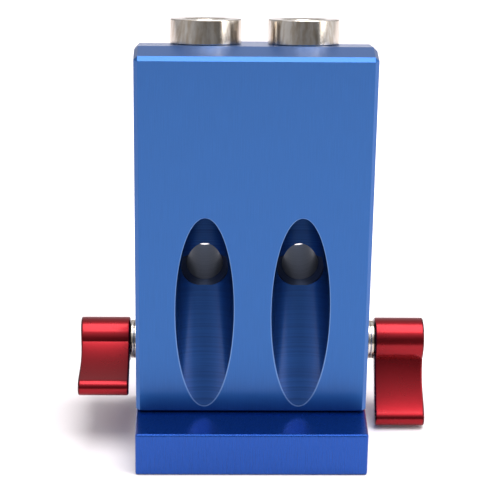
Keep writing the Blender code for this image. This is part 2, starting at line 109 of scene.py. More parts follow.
# %% One node at a time
def add(tree, kind, inputs=None, **settings):
    """Add a node. An input that is a node or a socket is linked, any other is set as a value."""
    node = tree.nodes.new("ShaderNode" + kind)
    for key, value in settings.items():
        setattr(node, key, value)
    for key, value in (inputs or {}).items():
        named = [entry for entry in node.inputs if entry.enabled and entry.name == key]
        entry = named[0] if named else node.inputs[key]
        if isinstance(value, bpy.types.Node):
            value = next(output for output in value.outputs if output.enabled)
        if isinstance(value, bpy.types.NodeSocket):
            tree.links.new(value, entry)
        else:
            entry.default_value = value
    return node


def blank(name):
    """An empty material and its node tree."""
    material = bpy.data.materials.new(name)
    material.use_nodes = True
    material.node_tree.nodes.clear()
    return material, material.node_tree


# Settings that many nodes share.
times, times_plus = {"operation": "MULTIPLY"}, {"operation": "MULTIPLY_ADD"}
larger, colours, vectors = {"operation": "MAXIMUM"}, {"data_type": "RGBA"}, {"data_type": "VECTOR"}
print("kinds of shader node:", sum(kind.startswith("ShaderNode") for kind in dir(bpy.types)))


# %% A pattern, a tint and a zone
def in_millimetres(tree, size=(1, 1, 1)):
    """The place of a point in the object's own frame, counted in cells of a size in millimetres.

    Object coordinates p are in metres, so the result is 1000 * p / size.
    """
    place = add(tree, "TexCoord").outputs["Object"]
    return add(tree, "Mapping", {"Vector": place, "Scale": [1000 / part for part in size]})


def grain(tree, size, detail=2.0, rough=0.5):
    """Noise around 0.5, with cells of a size (x, y, z) in millimetres."""
    cells = in_millimetres(tree, size)
    return add(
        tree, "TexNoise", {"Vector": cells, "Scale": 1.0, "Detail": detail, "Roughness": rough}
    )


def tint(tree, pattern, low, high, first, second, interpolation_type="LINEAR"):
    """Colour that goes from the first to the second as the pattern goes from low to high."""
    limits = {"Value": pattern, "From Min": low, "From Max": high}
    share = add(tree, "MapRange", limits, interpolation_type=interpolation_type)
    return add(tree, "Mix", {"Factor": share, "A": first, "B": second}, **colours)


def zone(tree, *limits):
    """Product of smooth steps, where each (value, none, full) is 0 at none and 1 at full."""
    inside = 1.0
    for value, none, full in limits:
        step = {"Value": value, "From Min": none, "From Max": full}
        step = add(tree, "MapRange", step, interpolation_type="SMOOTHSTEP")
        inside = add(tree, "Math", {0: inside, 1: step}, **times)
    return inside


print("a grain of 0.5 mm has", round(1000 / 0.5), "cells to the metre")

# %% [markdown]
# ## Where the tools cut the block
#
# On the real block the faces are milled and brushed, the two slanted bores are drilled and dyed
# with the rest, and the chip ports behind them show the grey inside of the metal. The CAD block
# is one solid with flat facets, so a material slot for each wall would need its mesh to be cut,
# and facets would still show. Instead each point works out its own distance from the axes of the
# bore and the port. That tells which tool made the wall there, and which way a true cylinder
# would face, so the walls shade round.

# %% Sizes of the cuts, in millimetres
drill_tilt = math.radians(16.2)
tilt_sin, tilt_cos = math.sin(drill_tilt), math.cos(drill_tilt)
drill_axis = (0, tilt_sin, tilt_cos)
bore_x, exit_z, port_z = 12.5, 41.3, 51.3
bore_radius, port_radius, lip_radius, lip_depth = 7.55, 4.75, 6.1, 12.5
under_block, rim_width, fade = 12.9, 0.34, 0.03
print("a bore leaves the face as an oval", round(2 * bore_radius / tilt_sin, 1), "mm long")


# %% Distances from the tools' axes
def tool_distances(tree):
    """How far each point lies from the axes of the bore and the port, in millimetres.

    The jig is the same on both sides, so q = |p| - exit serves both bores. Then along = q . axis,
    and r = q - along * axis leads from the bore's axis to the point, so its length d is the
    distance from the axis. A port does the same along y. On the face, the edge of the oval lies
    (d - R) * d / s away, where R is the bore's radius and s is the length of (r_x, r_z).
    """
    place = in_millimetres(tree)
    _, y, z = add(tree, "SeparateXYZ", {"Vector": place}).outputs
    folded = add(tree, "VectorMath", {0: place}, operation="ABSOLUTE")
    offset = add(tree, "VectorMath", {0: folded, 1: (bore_x, 0, exit_z)}, operation="SUBTRACT")
    along = add(tree, "VectorMath", {0: offset, 1: drill_axis}, operation="DOT_PRODUCT")
    on_axis = add(tree, "VectorMath", {0: offset, 1: drill_axis}, operation="PROJECT")
    radial = add(tree, "VectorMath", {0: offset, 1: on_axis}, operation="SUBTRACT")
    from_bore = add(tree, "VectorMath", {0: radial}, operation="LENGTH")
    offset = {0: folded, 1: (1, 0, 1), 2: (-bore_x, 0, -port_z)}
    across = add(tree, "VectorMath", offset, **times_plus)
    from_port = add(tree, "VectorMath", {0: across}, operation="LENGTH")

    slope = add(tree, "VectorMath", {0: radial, 1: (1, 0, 1)}, **times)
    slope = add(tree, "VectorMath", {0: slope}, operation="LENGTH")
    past_edge = add(tree, "Math", {0: from_bore, 1: bore_radius}, operation="SUBTRACT")
    past_edge = add(tree, "Math", {0: past_edge, 1: from_bore}, **times)
    from_rim = add(tree, "Math", {0: past_edge, 1: slope}, operation="DIVIDE")
    return {
        "place": place, "y": y, "z": z, "along": along, "radial": radial, "across": across,
        "from_bore": from_bore, "from_port": from_port, "from_rim": from_rim,
    }


print("the port's axis lies", round(port_z - exit_z, 1), "mm above the place where the bore exits")


# %% Zones of the cuts
def cut_zones(tree, at):
    """Where the walls of the bores and ports, all bare metal, and the rims of the ovals are."""
    y, z, from_bore, from_port = at["y"], at["z"], at["from_bore"], at["from_port"]
    bore_edge, port_edge, lip_edge = (r + 0.02 for r in (bore_radius, port_radius, lip_radius))
    past_face, above_foot = (y, 0.02, 0.06), (z, under_block, under_block + 0.1)
    in_bore = zone(tree, past_face, above_foot, (from_bore, bore_edge + fade, bore_edge))
    behind = (y, 4, 5), (from_bore, bore_edge, bore_edge + fade)
    in_port = zone(tree, (from_port, port_edge + 0.04, port_edge), *behind)
    near_bore = (y, lip_depth, lip_depth - 0.5)
    on_lip = zone(tree, (from_port, lip_edge + 0.04, lip_edge), near_bore, *behind)
    bare = add(tree, "Math", {0: in_port, 1: on_lip}, **larger)
    on_face, above_foot = (y, 0.3, 0.2), (z, under_block + 0.1, under_block + 0.3)
    # The rim zone carries a painted highlight along the edge of each oval.
    on_rim = zone(tree, (at["from_rim"], rim_width, 0.22), on_face, above_foot, (in_bore, 1, 0))
    return in_bore, in_port, bare, on_rim


print("a lip is", round(lip_radius - port_radius, 2), "mm wide")


# %% Round walls
def wall_normal(tree, at, in_bore, in_port):
    """The normal of a true cylinder on the round walls, and of the faces with soft edges.

    A wall faces its axis, so its normal is -r, with x and y turned back to the point's own side.
    """
    wall = {"Factor": in_port, "A": at["radial"], "B": at["across"]}
    side = add(tree, "VectorMath", {0: at["place"]}, operation="SIGN")
    wall = add(tree, "VectorMath", {0: add(tree, "Mix", wall, **vectors), 1: side}, **times)
    inward = add(tree, "VectorMath", {0: wall, "Scale": -1.0}, operation="SCALE")
    is_round = add(tree, "Math", {0: in_bore, 1: in_port}, **larger)
    flat = add(tree, "Bevel", {"Radius": 0.00012}, samples=6)
    normal = add(tree, "Mix", {"Factor": is_round, "A": flat, "B": inward}, **vectors)
    return add(tree, "VectorMath", {0: normal}, operation="NORMALIZE")


print("drill_block keeps its", len(nodes["drill_block"].data.polygons), "flat faces")

# %% [markdown]
# ## Blue anodised aluminium
#
# Anodising grows a clear, porous layer of oxide on the metal, which is dyed and then sealed. The
# eye sees coloured reflections from the metal with a fainter white gloss on top, so the shader is
# a metal with a thin coat. A painted look, a diffuse blue under a gloss, would miss how the faces
# darken and brighten with what they mirror. The faces carry fine upright brush strokes, and the
# bores carry the rings of the drill. The bores get a darker blue than the faces, as painted shade
# inside them, and a thin pale line along the edge of each oval is a painted highlight. The ports
# have no coat, and their dark blue-grey is painted shade inside them. Strokes and grit are finer
# on the real block than a pixel, and are drawn as coarse as they need to show in a close view.

# %% Blue anodised finishes
# Sizes in millimetres: a stroke is 0.17 wide and 8 long, and a drill leaves a mark each 0.4.
brush_stroke, grit, dye_patch = (1 / 6, 1 / 6, 25 / 3), (1 / 9,) * 3, (20,) * 3
bore_mark, port_mark = 1 / 2.6, 1 / 1.6
# The first is how strongly the painted highlight shows along the edge of each oval.
painted_highlight_share, sealed_gloss = 0.35, 0.38


def blue_anodised(name, dark, light, least_rough):
    """Brushed, dyed and sealed aluminium, with drilled bores and bare chip ports."""
    material, tree = blank(name)
    at = tool_distances(tree)
    in_bore, in_port, bare, on_rim = cut_zones(tree, at)
    normal = wall_normal(tree, at, in_bore, in_port)
    strokes = grain(tree, brush_stroke, 3.0, 0.6)
    specks = grain(tree, grit, 2.0, 0.6)
    turns = add(tree, "Math", {0: at["along"], 1: 1 / bore_mark}, **times)
    spiral = add(tree, "CombineXYZ", {"X": turns, "Y": grain(tree, dye_patch)})
    look = {"Vector": spiral, "Scale": 1.0, "Detail": 3.0, "Roughness": 0.7}
    rings = add(tree, "TexNoise", look)
    turns = add(tree, "Math", {0: at["y"], 1: 1 / port_mark}, **times)
    look = {"Vector": add(tree, "CombineXYZ", {"X": turns}), "Scale": 1.0}
    port_rings = add(tree, "TexNoise", look)

    brushed = tint(tree, strokes, 0.25, 0.75, linear(dark), linear(light))
    # Painted shade: the bores get a darker blue than the faces, for the shade inside them.
    bored = tint(tree, rings, 0.3, 0.7, linear("#163D78"), linear("#1F4F93"))
    # Painted shade: the bare ports and the lips round them get a dark blue-grey, for the shade
    # inside them.
    metal = tint(tree, port_rings, 0.3, 0.7, linear("#323C52"), linear("#465066"))
    colour = add(tree, "Mix", {"Factor": in_bore, "A": brushed, "B": bored}, **colours)
    # Painted highlight: a pale blue line painted along the edge of each oval.
    painted_rim_highlight = add(tree, "Math", {0: on_rim, 1: painted_highlight_share}, **times)
    colour = add(tree, "Mix", {"Factor": painted_rim_highlight, "A": colour, "B": linear("#8FB2E0")}, **colours)
    colour = add(tree, "Mix", {"Factor": bare, "A": colour, "B": metal}, **colours)

    outside = add(tree, "Math", {0: specks, 1: 0.3, 2: strokes}, **times_plus)
    inside = add(tree, "Math", {0: rings, 1: 2.0}, **times)
    height = add(tree, "Mix", {"Factor": in_bore, "A": outside, "B": inside})
    relief = {"Height": height, "Strength": 0.3, "Distance": 0.00002, "Normal": normal}
    gloss = {0: bare, 1: -sealed_gloss, 2: sealed_gloss}
    shader = {
        "Base Color": colour,
        "Metallic": 0.88,  # the dye in the oxide scatters a little
        "Roughness": add(tree, "Math", {0: strokes, 1: 0.12, 2: least_rough}, **times_plus),
        "Normal": add(tree, "Bump", relief),
        "Coat Weight": add(tree, "Math", gloss, **times_plus),
        "Coat Roughness": 0.18,
        "Coat Normal": normal,
    }
    add(tree, "OutputMaterial", {"Surface": add(tree, "BsdfPrincipled", shader)})
    return material


blue = blue_anodised("blue_anodised_aluminium", "#225695", "#275FA4", 0.33)
deep_blue = blue_anodised("blue_anodised_foot", "#0D4394", "#104AA3", 0.22)
print("blue finishes:", len(blue.node_tree.nodes), "nodes each")

# %% [markdown]
# ## Red anodised aluminium
#
# The levers are cut from a drawn bar, so faint lines run across them from side to side, and they
# are tumbled, dyed red and sealed. That gives a deep red mirror with soft edges. The rounded rims
# at both ends get a darker red as painted shade, which draws a dark outline round each lever and
# sets it off from the steel behind it. It follows the distance from the lever's inner face. The
# lines and the grit are drawn coarser than the real ones, as on the block.

# %% Red anodised finish
half_width, lever_face, lever_width, backed_off = 30.5, 2.1, 13.5, {"left": 0.0, "right": 1.6}
tumbled, drawn_line, sheen_patch = (1 / 7,) * 3, (20 / 3, 1 / 5, 1 / 5), (4,) * 3


def red_anodised():
    """Drawn, tumbled and dyed aluminium, with painted shade on the two rims of a lever."""
    material, tree = blank("red_anodised_aluminium")
    specks, lines = grain(tree, tumbled, 3.0, 0.6), grain(tree, drawn_line, 3.0, 0.6)
    x = add(tree, "SeparateXYZ", {"Vector": in_millimetres(tree)}).outputs["X"]
    face = {0: zone(tree, (x, 0, 1)), 1: backed_off["right"], 2: half_width + lever_face}
    face = add(tree, "Math", face, **times_plus)
    distance = add(tree, "Math", {0: x}, operation="ABSOLUTE")
    from_face = add(tree, "Math", {0: distance, 1: face}, operation="SUBTRACT")
    # Painted shade: a dark outline on the rim at the inner face and on the rim at the outer end.
    inner = zone(tree, (from_face, 0.42, 0.12))
    outer = zone(tree, (from_face, lever_width - 0.7, lever_width - 0.2))
    rim = add(tree, "Math", {0: inner, 1: outer}, **larger)
    rim = add(tree, "Math", {0: rim, 1: 0.8}, **times)

    colour = tint(tree, specks, 0.3, 0.75, linear("#85161E"), linear("#901B24"))
    colour = tint(tree, lines, 0.3, 0.75, colour, linear("#8A1820"))
    # The dark red here is the painted shade on the rims.
    colour = add(tree, "Mix", {"Factor": rim, "A": colour, "B": linear("#3A0A10")}, **colours)
    height = add(tree, "Math", {0: lines, 1: 0.6, 2: specks}, **times_plus)
    rough = {0: grain(tree, sheen_patch), 1: 0.06, 2: 0.25}
    shader = {
        "Base Color": colour,
        "Metallic": 1.0,
        "Roughness": add(tree, "Math", rough, **times_plus),
        "Normal": add(tree, "Bump", {"Height": height, "Strength": 0.04, "Distance": 0.00001}),
        "Coat Weight": 0.18,
        "Coat Roughness": 0.1,
    }
    add(tree, "OutputMaterial", {"Surface": add(tree, "BsdfPrincipled", shader)})
    return material


red = red_anodised()
print("red finish:", len(red.node_tree.nodes), "nodes")

# %% [markdown]
# ## Steels
#
# The bushes, washers and studs are turned on a lathe, which leaves rings round the axis and a
# bright surface with faint warm stains from handling. The screws are blackened in a hot salt
# bath, which leaves a dark, slightly rough skin, and the springs are drawn wire. All three are
# metals that differ in colour, in roughness and in the shape of one pattern. An anisotropic
# shader could stretch the highlights of the turned faces instead, but a pattern with a real size
# also holds up in a close view. Real turning rings lie about 0.05 mm apart, and are drawn at 0.1.

# %% Steel finishes
turning_ring, stain = (25, 25, 1 / 9), (10 / 9, 10 / 9, 10)
oxide_grain, wire_mark = (1 / 5,) * 3, (1 / 3,) * 3


def metal(name, marks, colour_pair, rough, rough_range, metallic=1.0):
    """A bare metal whose marks give its colour and relief: rough + rough_range * pattern."""
    material, tree = blank(name)
    colour, pattern, strength, distance = marks(tree, *map(linear, colour_pair))
    shader = {
        "Base Color": colour,
        "Metallic": metallic,
        "Roughness": add(tree, "Math", {0: pattern, 1: rough_range, 2: rough}, **times_plus),
    }
    if strength:
        soft = add(tree, "Bevel", {"Radius": 0.0001}, samples=6)
        relief = {"Height": pattern, "Strength": strength, "Distance": distance, "Normal": soft}
        shader["Normal"] = add(tree, "Bump", relief)
    add(tree, "OutputMaterial", {"Surface": add(tree, "BsdfPrincipled", shader)})
    return material


def turned(tree, first, second):
    """Lathe rings for the relief, and soft stains for the colour."""
    colour = tint(tree, grain(tree, stain, 3.0), 0.3, 0.7, first, second, "SMOOTHSTEP")
    return colour, grain(tree, turning_ring, 3.0, 0.6), 0.12, 0.00001


def blackened(tree, first, second):
    """A fine even grain for both."""
    pattern = grain(tree, oxide_grain, 3.0)
    return tint(tree, pattern, 0.3, 0.7, first, second), pattern, 0.2, 0.00002


def drawn(tree, first, second):
    """Short marks that only vary the colour and the gloss."""
    pattern = grain(tree, wire_mark)
    return tint(tree, pattern, 0, 1, first, second), pattern, 0, 0


steel = metal("turned_steel", turned, ("#D9D3CC", "#BFB2A2"), 0.13, 0.12)
black = metal("black_oxide_steel", blackened, ("#2A2A2D", "#3C3B3E"), 0.32, 0.15, 0.9)
wire = metal("spring_steel", drawn, ("#B9B9BC", "#9A9A9F"), 0.2, 0.15)
print("steels:", steel.name, black.name, wire.name)

# %% [markdown]
# ## Finishes for the CAD nodes
#
# A CAD node whose shape is right keeps its mesh and only gets its finish, by the material slots
# of its object. The left and right pieces share one finish, so their names are looked up without
# the side.

# %% Give each node its finish
finishes = {
    "drill_block": blue, "foot_plate": deep_blue, "slide_arm": deep_blue, "clamp_lever": red,
    "drill_bush": steel, "clamp_washer": steel, "clamp_stud": steel, "bush_set_screw": black,
    "foot_screw": black, "lever_screw": black, "lever_spring": wire,
}
for name, obj in nodes.items():
    for place in obj.material_slots:
        place.material = finishes[name.removesuffix("_left").removesuffix("_right")]
print("materials:", ", ".join(sorted({finish.name for finish in finishes.values()})))

# %% [markdown]
# ## Surfaces from point grids
#
# The CAD solids have flat facets where the real pieces are round and smooth. A subdivision
# surface on them would shrink every radius. The pieces below are worked out again at the same
# sizes, as dense grids of points with small radii at the edges: a surface is a function of two
# parameters, and grids that share a border are welded into one closed mesh.

# %% Weld grids into a closed mesh
mm = 0.001
weld_distance, crease_angle = 1e-7, math.radians(35)


def grid_mesh(name, grids, material):
    """Weld point grids (rows, columns, 3) in metres into one smooth closed mesh.

    Quad (i, j) joins P[i][j], P[i+1][j], P[i+1][j+1] and P[i][j+1]. Points that round to the same
    multiple of the weld distance become one, and a quad that loses a corner becomes a triangle.
    """
    points, quads, offset = [], [], 0
    for grid in grids:
        rows, columns = grid.shape[:2]
        index = offset + np.arange(rows * columns).reshape(rows, columns)
        quad = np.stack((index[:-1, :-1], index[1:, :-1], index[1:, 1:], index[:-1, 1:]), axis=-1)
        quads.append(quad.reshape(-1, 4))
        points.append(grid.reshape(-1, 3))
        offset += rows * columns
    points, quads = np.concatenate(points), np.concatenate(quads)
    cells = np.round(points / weld_distance)
    _, first, merged = np.unique(cells, axis=0, return_index=True, return_inverse=True)
    faces = [list(dict.fromkeys(face)) for face in merged.reshape(-1)[quads].tolist()]
    mesh = bpy.data.meshes.new(name)
    mesh.from_pydata(points[first].tolist(), [], [face for face in faces if len(face) > 2])
    bm = bmesh.new()
    bm.from_mesh(mesh)
    bmesh.ops.recalc_face_normals(bm, faces=bm.faces)
    open_edges = sum(not edge.is_manifold for edge in bm.edges)
    bm.to_mesh(mesh)
    bm.free()
    mesh.shade_smooth()
    mesh.set_sharp_from_angle(angle=crease_angle)
    mesh.materials.append(material)
    piece = bpy.data.objects.new(name, mesh)
    scene.collection.objects.link(piece)
    print(name, len(mesh.vertices), "points,", open_edges, "open edges")
    return piece


def stand_for(piece, node, body):
    """The piece moves with a body and takes the place of its CAD node."""
    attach(piece, body)
    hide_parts(node)


print("edges sharper than", round(math.degrees(crease_angle)), "degrees stay sharp")

# %% [markdown]
# ## Turned pieces
#
# A bush, a washer and a stud are turned on a lathe, and can be made the same way: a profile of
# radius and distance along the axis is spun once round. Blender's Screw modifier does that too,
# but it can't give the stud its ring of teeth, for which some rows of the profile change their
# radius as they go round.

# %% Round a profile and spin it
around_steps = 144


def rounded(profile, radius, steps=5):
    """Round each corner of a closed profile by a curve that runs from one edge into the next.

    With the corner C, the curve is (1-t)^2 * A + 2t(1-t) * C + t^2 * B. A and B lie on the edges,
    radius * tan(turn / 2) from C but never past half an edge.
    """
    corner = np.array(profile, float)
    back, ahead = np.roll(corner, 1, axis=0) - corner, np.roll(corner, -1, axis=0) - corner
    back_length = np.linalg.norm(back, axis=1, keepdims=True)
    ahead_length = np.linalg.norm(ahead, axis=1, keepdims=True)
    back, ahead = back / back_length, ahead / ahead_length
    turn = math.pi - np.arccos(np.clip(np.sum(back * ahead, axis=1, keepdims=True), -1, 1))
    cut = np.minimum(radius * np.tan(turn / 2), 0.49 * np.minimum(back_length, ahead_length))
    start, end = (corner + back * cut)[:, None], (corner + ahead * cut)[:, None]
    t = np.linspace(0, 1, steps)[None, :, None]
    curve = (1 - t) ** 2 * start + 2 * t * (1 - t) * corner[:, None] + t**2 * end
    return curve.reshape(-1, 2)


def lathe(name, profile, origin, axis, material, teeth=0, tooth_depth=0.0, toothed=None):
    """Spin a closed profile of (radius, distance along the axis) in millimetres.

    P(a, k) = O + s_k * axis + r_k(a) * (cos a * e1 + sin a * e2). On toothed rows the radius falls
    by a triangle wave: r_k(a) = r_k - depth * |2 * frac(a * teeth / 2 pi) - 1|.
    """
    profile = np.vstack((profile, profile[:1]))
    axis = np.array(axis, float) / np.linalg.norm(axis)
    e1 = np.cross(axis, (0, 0, 1) if abs(axis[2]) < 0.9 else (1, 0, 0))
    e1 /= np.linalg.norm(e1)
    e2 = np.cross(axis, e1)
    angle = np.linspace(0, math.tau, (teeth * 8 or around_steps) + 1)
    angle[-1] = 0
    radius = np.repeat(profile[:, :1], len(angle), axis=1)
    if teeth:
        wave = np.abs(2 * ((angle * teeth / math.tau) % 1) - 1)
        rows = np.append(toothed, toothed[0])[:, None]
        radius = radius - rows * tooth_depth * wave[None, :]
    around = np.cos(angle)[:, None] * e1 + np.sin(angle)[:, None] * e2
    grid = profile[:, 1, None, None] * axis + radius[..., None] * around[None]
    return grid_mesh(name, [np.array(origin) + grid * mm], material)


print("a rounded corner has", len(rounded([(0, 0), (1, 0), (0, 1)], 0.1)) // 3, "points")

# %% [markdown]
# ### Guide bushes
#
# A hardened bush keeps the drill from wearing the soft aluminium. Its body fills the bore and
# its head stands on the slope, where it mirrors the room as a bright band. The outer edge is
# broken by a small radius, and the hole opens in a round lead-in that centres the drill. A bevel
# modifier can't give the two edges different sizes by itself, so both are drawn in the profile.

# %% Make the bushes
base_z, block_top, flat_top = 12.4, 99.4, 8.6
hole, bush_body, head, head_height, lead_in, head_edge = 4.75, 7.25, 9.15, 6.4, 1.6, 0.35
gap_under_head, buried = 0.15, -20
seat = (block_top - (exit_z - base_z) + flat_top * math.tan(drill_tilt)) * tilt_cos

quarter = np.linspace(0.15, math.pi / 2, 14)
lead = np.column_stack((1 - np.sin(quarter), np.cos(quarter) - 1)) * lead_in + (hole, head_height)
mouth = hole + lead_in
outside = [(head, 3.0), (head, head_height), (mouth, head_height)]
rim = rounded(outside, head_edge)[5:10]
under = [(bush_body, buried), (bush_body, gap_under_head)]
under += [(head - 0.1, gap_under_head), (head, gap_under_head + 0.1)]
bush_profile = np.vstack((under, rim, [(mouth + 0.1, head_height)], lead, [(hole, buried)]))
for side, sign in (("left", -1), ("right", 1)):
    origin = np.array((sign * bore_x, seat * tilt_sin, exit_z + seat * tilt_cos)) * mm
    bush = lathe("bush_" + side, bush_profile, origin, drill_axis, steel)
    stand_for(bush, "drill_bush_" + side, "jig_block")

# %% [markdown]
# ### Washers and clamp studs
#
# Between the block and a lever lie a plain washer and the stud's collar, which press the arm
# against the block. The end of the stud has 24 teeth that fit a ring of teeth in the lever. The
# right clamp is shown two turns open, so its pieces stand further out.

# %% Make the washers and studs
clamp_y, clamp_z = 27.4, 20.1
shank, shank_end, collar, tooth_tip, screw_hole = 2.5, -19.5, 5.3, 4.2, 1.65
tooth_count, tooth_depth = 24, 0.6
ring = rounded([(2.75, 0.3), (collar, 0.3), (collar, 0.95), (2.75, 0.95)], 0.06)
stud_profile = [
    (0, shank_end), (shank - 0.2, shank_end), (shank, shank_end + 0.2), (shank, 0.98),
    (collar - 0.06, 0.98), (collar - 0.02, 1.0), (collar, 1.04), (collar, 1.87),
    (collar - 0.03, 1.93), (collar - 0.09, 1.95), (tooth_tip, 1.95), (tooth_tip, 2.1),
    (tooth_tip, 4.3), (screw_hole, 4.3), (screw_hole, -1.0), (0, -1.0),
]
toothed = [float(i in (11, 12)) for i in range(len(stud_profile))]
for side, sign in (("left", -1), ("right", 1)):
    origin = np.array((sign * (half_width + backed_off[side]), clamp_y, clamp_z)) * mm
    axis = (sign, 0, 0)
    washer = lathe("washer_" + side, ring, origin, axis, steel)
    stand_for(washer, "clamp_washer_" + side, "washer_" + side)
    stud = lathe(
        "stud_" + side, stud_profile, origin, axis, steel, tooth_count, tooth_depth, toothed
    )
    stand_for(stud, "clamp_stud_" + side, "clamp_" + side)

# %% [markdown]
# ## Clamp levers
#
# A lever is milled as one comma-shaped profile: a round hub, a crease, a shallow scoop and a
# round bead at the tip, and the same on the other side. It could be built from a cylinder and a
# swept tail joined by a boolean, but the crease would then be wherever the two happen to meet.
# Here each arc has its own radius and place, and the outline that they make is carried along the
# stud, with rounded edges at both ends. The tail is waisted: its outer side dips a little between
# hub and bead. The hub is bored for the teeth, the screw and the spring.

# %% The lever's outline
hub_radius, bead_radius, bead_distance = 6.1, 2.25, 21.6
crease = {"front": math.radians(18.3), "back": math.radians(29)}
scoop = {"front": 45.5, "back": 50.0}
bead_blend = {"front": math.radians(11), "back": math.radians(8)}
tail_steps, arc_steps, cross_steps, hub_steps = 36, 14, 28, 220


def scoop_arc(start, end, radius, count):
    """Points of the arc from start to end that sags towards smaller second coordinates.

    Its centre lies square to the chord's middle, sqrt(radius^2 - (chord / 2)^2) away.
    """
    chord = end - start
    length = np.linalg.norm(chord)
    normal = np.array((-chord[1], chord[0])) / length
    centre = (start + end) / 2 + normal * math.sqrt(radius**2 - (length / 2) ** 2)
    first, last = (math.atan2(*(point - centre)[::-1]) for point in (start, end))
    angle = np.linspace(first, last, count)
    return centre + radius * np.stack((np.cos(angle), np.sin(angle)), axis=1)


def tail_side(side):
    """One side of the lever from its crease to the tip of the bead: scoop, then bead."""
    start = hub_radius * np.array((math.cos(crease[side]), math.sin(crease[side])))
    angle = np.linspace(math.pi / 2 + bead_blend[side], 0, arc_steps)
    bead = np.stack((np.cos(angle), np.sin(angle)), axis=1) * bead_radius + (bead_distance, 0)
    return np.vstack((scoop_arc(start, bead[0], scoop[side], tail_steps), bead[1:]))


def inset(points, distance):
    """Closed outline moved inwards along its point normals, square to the mean of two edges."""
    before = points - np.roll(points, 1, axis=0)
    after = np.roll(points, -1, axis=0) - points
    mean = before / np.linalg.norm(before, axis=1)[:, None]
    mean = mean + after / np.linalg.norm(after, axis=1)[:, None]
    mean /= np.linalg.norm(mean, axis=1)[:, None]
    ahead = np.roll(points, -1, axis=0)
    area = np.sum(points[:, 0] * ahead[:, 1] - ahead[:, 0] * points[:, 1])
    return points + np.stack((-mean[:, 1], mean[:, 0]), axis=1) * distance * np.sign(area)


def closed(ring):
    """The ring with its first row again at its end."""
    return np.concatenate((ring, ring[:1]))


hub_angle = np.linspace(crease["front"], math.tau - crease["back"], hub_steps)
hub = hub_radius * np.stack((np.cos(hub_angle), np.sin(hub_angle)), axis=1)
front, back = tail_side("front"), tail_side("back") * (1, -1)
outline = np.vstack((hub[:-1], back[:-1], front[:0:-1]))
print("lever outline:", len(outline), "points, reach", round(outline[:, 0].max(), 2), "mm")

# %% The lever's surfaces
edge_radius, edge_steps, waist = 0.55, 7, 0.35
lever_end = lever_face + lever_width
socket, socket_depth, screw_way, floor_depth, pocket = 4.55, 2.6, 2.2, 4.2, 4.2


def lay(points, x, waisted):
    """Points (u, v) of the outline at depth x along the stud: (x - dip, -v, -u).

    The dip is waist * sin(pi * u / reach)^2, and 0 where the face isn't waisted.
    """
    u, v = points[..., 0], points[..., 1]
    reach = np.clip(u / bead_distance, 0, 1)
    return np.stack((x - waisted * waist * np.sin(math.pi * reach) ** 2, -v, -u), axis=-1)


def outer_wall():
    """The outline carried along the stud, drawn in at both ends by a quarter circle."""
    quarter = np.linspace(0, math.pi / 2, edge_steps)
    rings = [closed(inset(outline, edge_radius * (1 - math.sin(t)))) for t in quarter]
    steps = edge_radius * (1 - np.cos(quarter))
    inner = [lay(ring, lever_face + step, 0) for ring, step in zip(rings, steps)]
    outer = [lay(ring, lever_end - step, 1) for ring, step in zip(rings, steps)]
    return np.array(inner + outer[::-1])


def end_faces():
    """The ring round the hub's hole, and the tail's two faces, lofted from side to side.

    Row k of a face goes straight from point k of the front side to point k of the back side. Its
    first row bends round the hub instead, with its angle and its radius changing evenly.
    """
    small, tail = inset(outline, edge_radius), len(front)
    hub_side = small[:hub_steps]
    back_side = small[hub_steps - 1 : hub_steps - 1 + tail]
    front_side = np.roll(small, -1, axis=0)[::-1][:tail]
    share = np.linspace(0, 1, cross_steps)[:, None]
    corners = np.array((front_side[0], back_side[0]))
    angles, sizes = np.arctan2(corners[:, 1], corners[:, 0]), np.linalg.norm(corners, axis=1)
    bend = (1 - share) * angles[0] + share * angles[1]
    size = (1 - share) * sizes[0] + share * sizes[1]
    first = size * np.hstack((np.cos(bend), np.sin(bend)))
    rest = (1 - share) * front_side[1:, None] + share * back_side[1:, None]
    return np.vstack((hub_side, first[::-1][1:-1])), np.concatenate((first[None], rest))


def hub_hole(ring):
    """The toothed socket, the way of the screw and the spring's pocket, joined to both faces."""
    polar = np.arctan2(ring[:, 1], ring[:, 0])
    wave = np.abs(2 * ((polar * tooth_count / math.tau) % 1) - 1)[:, None]
    circle = np.stack((np.cos(polar), np.sin(polar)), axis=1)
    teeth = circle * (socket - tooth_depth * wave)
    bottom, step = lever_face + socket_depth, lever_face + floor_depth
    rows = [
        lay(ring, lever_face, 0), lay(teeth, lever_face, 0), lay(teeth, bottom, 0),
        lay(circle * screw_way, bottom, 0), lay(circle * screw_way, step, 0),
        lay(circle * pocket, step, 0), lay(circle * pocket, lever_end - 0.3, 1),
        lay(circle * (pocket + 0.3), lever_end, 1), lay(ring, lever_end, 1),
    ]
    return np.array([closed(row) for row in rows])


hub_ring, tail_face = end_faces()
lever_grids = [outer_wall(), hub_hole(hub_ring)]
lever_grids += [lay(tail_face, lever_face, 0), lay(tail_face, lever_end, 1)]
print("lever grids:", [grid.shape[:2] for grid in lever_grids])

# %% Place the two levers
rest_turn = {"left": math.radians(80.5), "right": math.radians(-37)}


def lever(side, sign):
    """Turn the lever about its stud to its rest angle, and carry it out to its side.

    The left lever is the right one turned by half a turn about z, which swaps front and back.
    """
    c, s = math.cos(rest_turn[side]), math.sin(rest_turn[side])
    spin = np.array(((1, 0, 0), (0, c, -s), (0, s, c)))
    move = np.array((half_width + backed_off[side], 0, 0))
    centre = np.array((0, clamp_y, clamp_z))
    grids = [((grid @ spin.T + move) * (sign, sign, 1) + centre) * mm for grid in lever_grids]
    stand_for(grid_mesh("lever_" + side, grids, red), "clamp_lever_" + side, "handle_" + side)


lever("left", -1)
lever("right", 1)

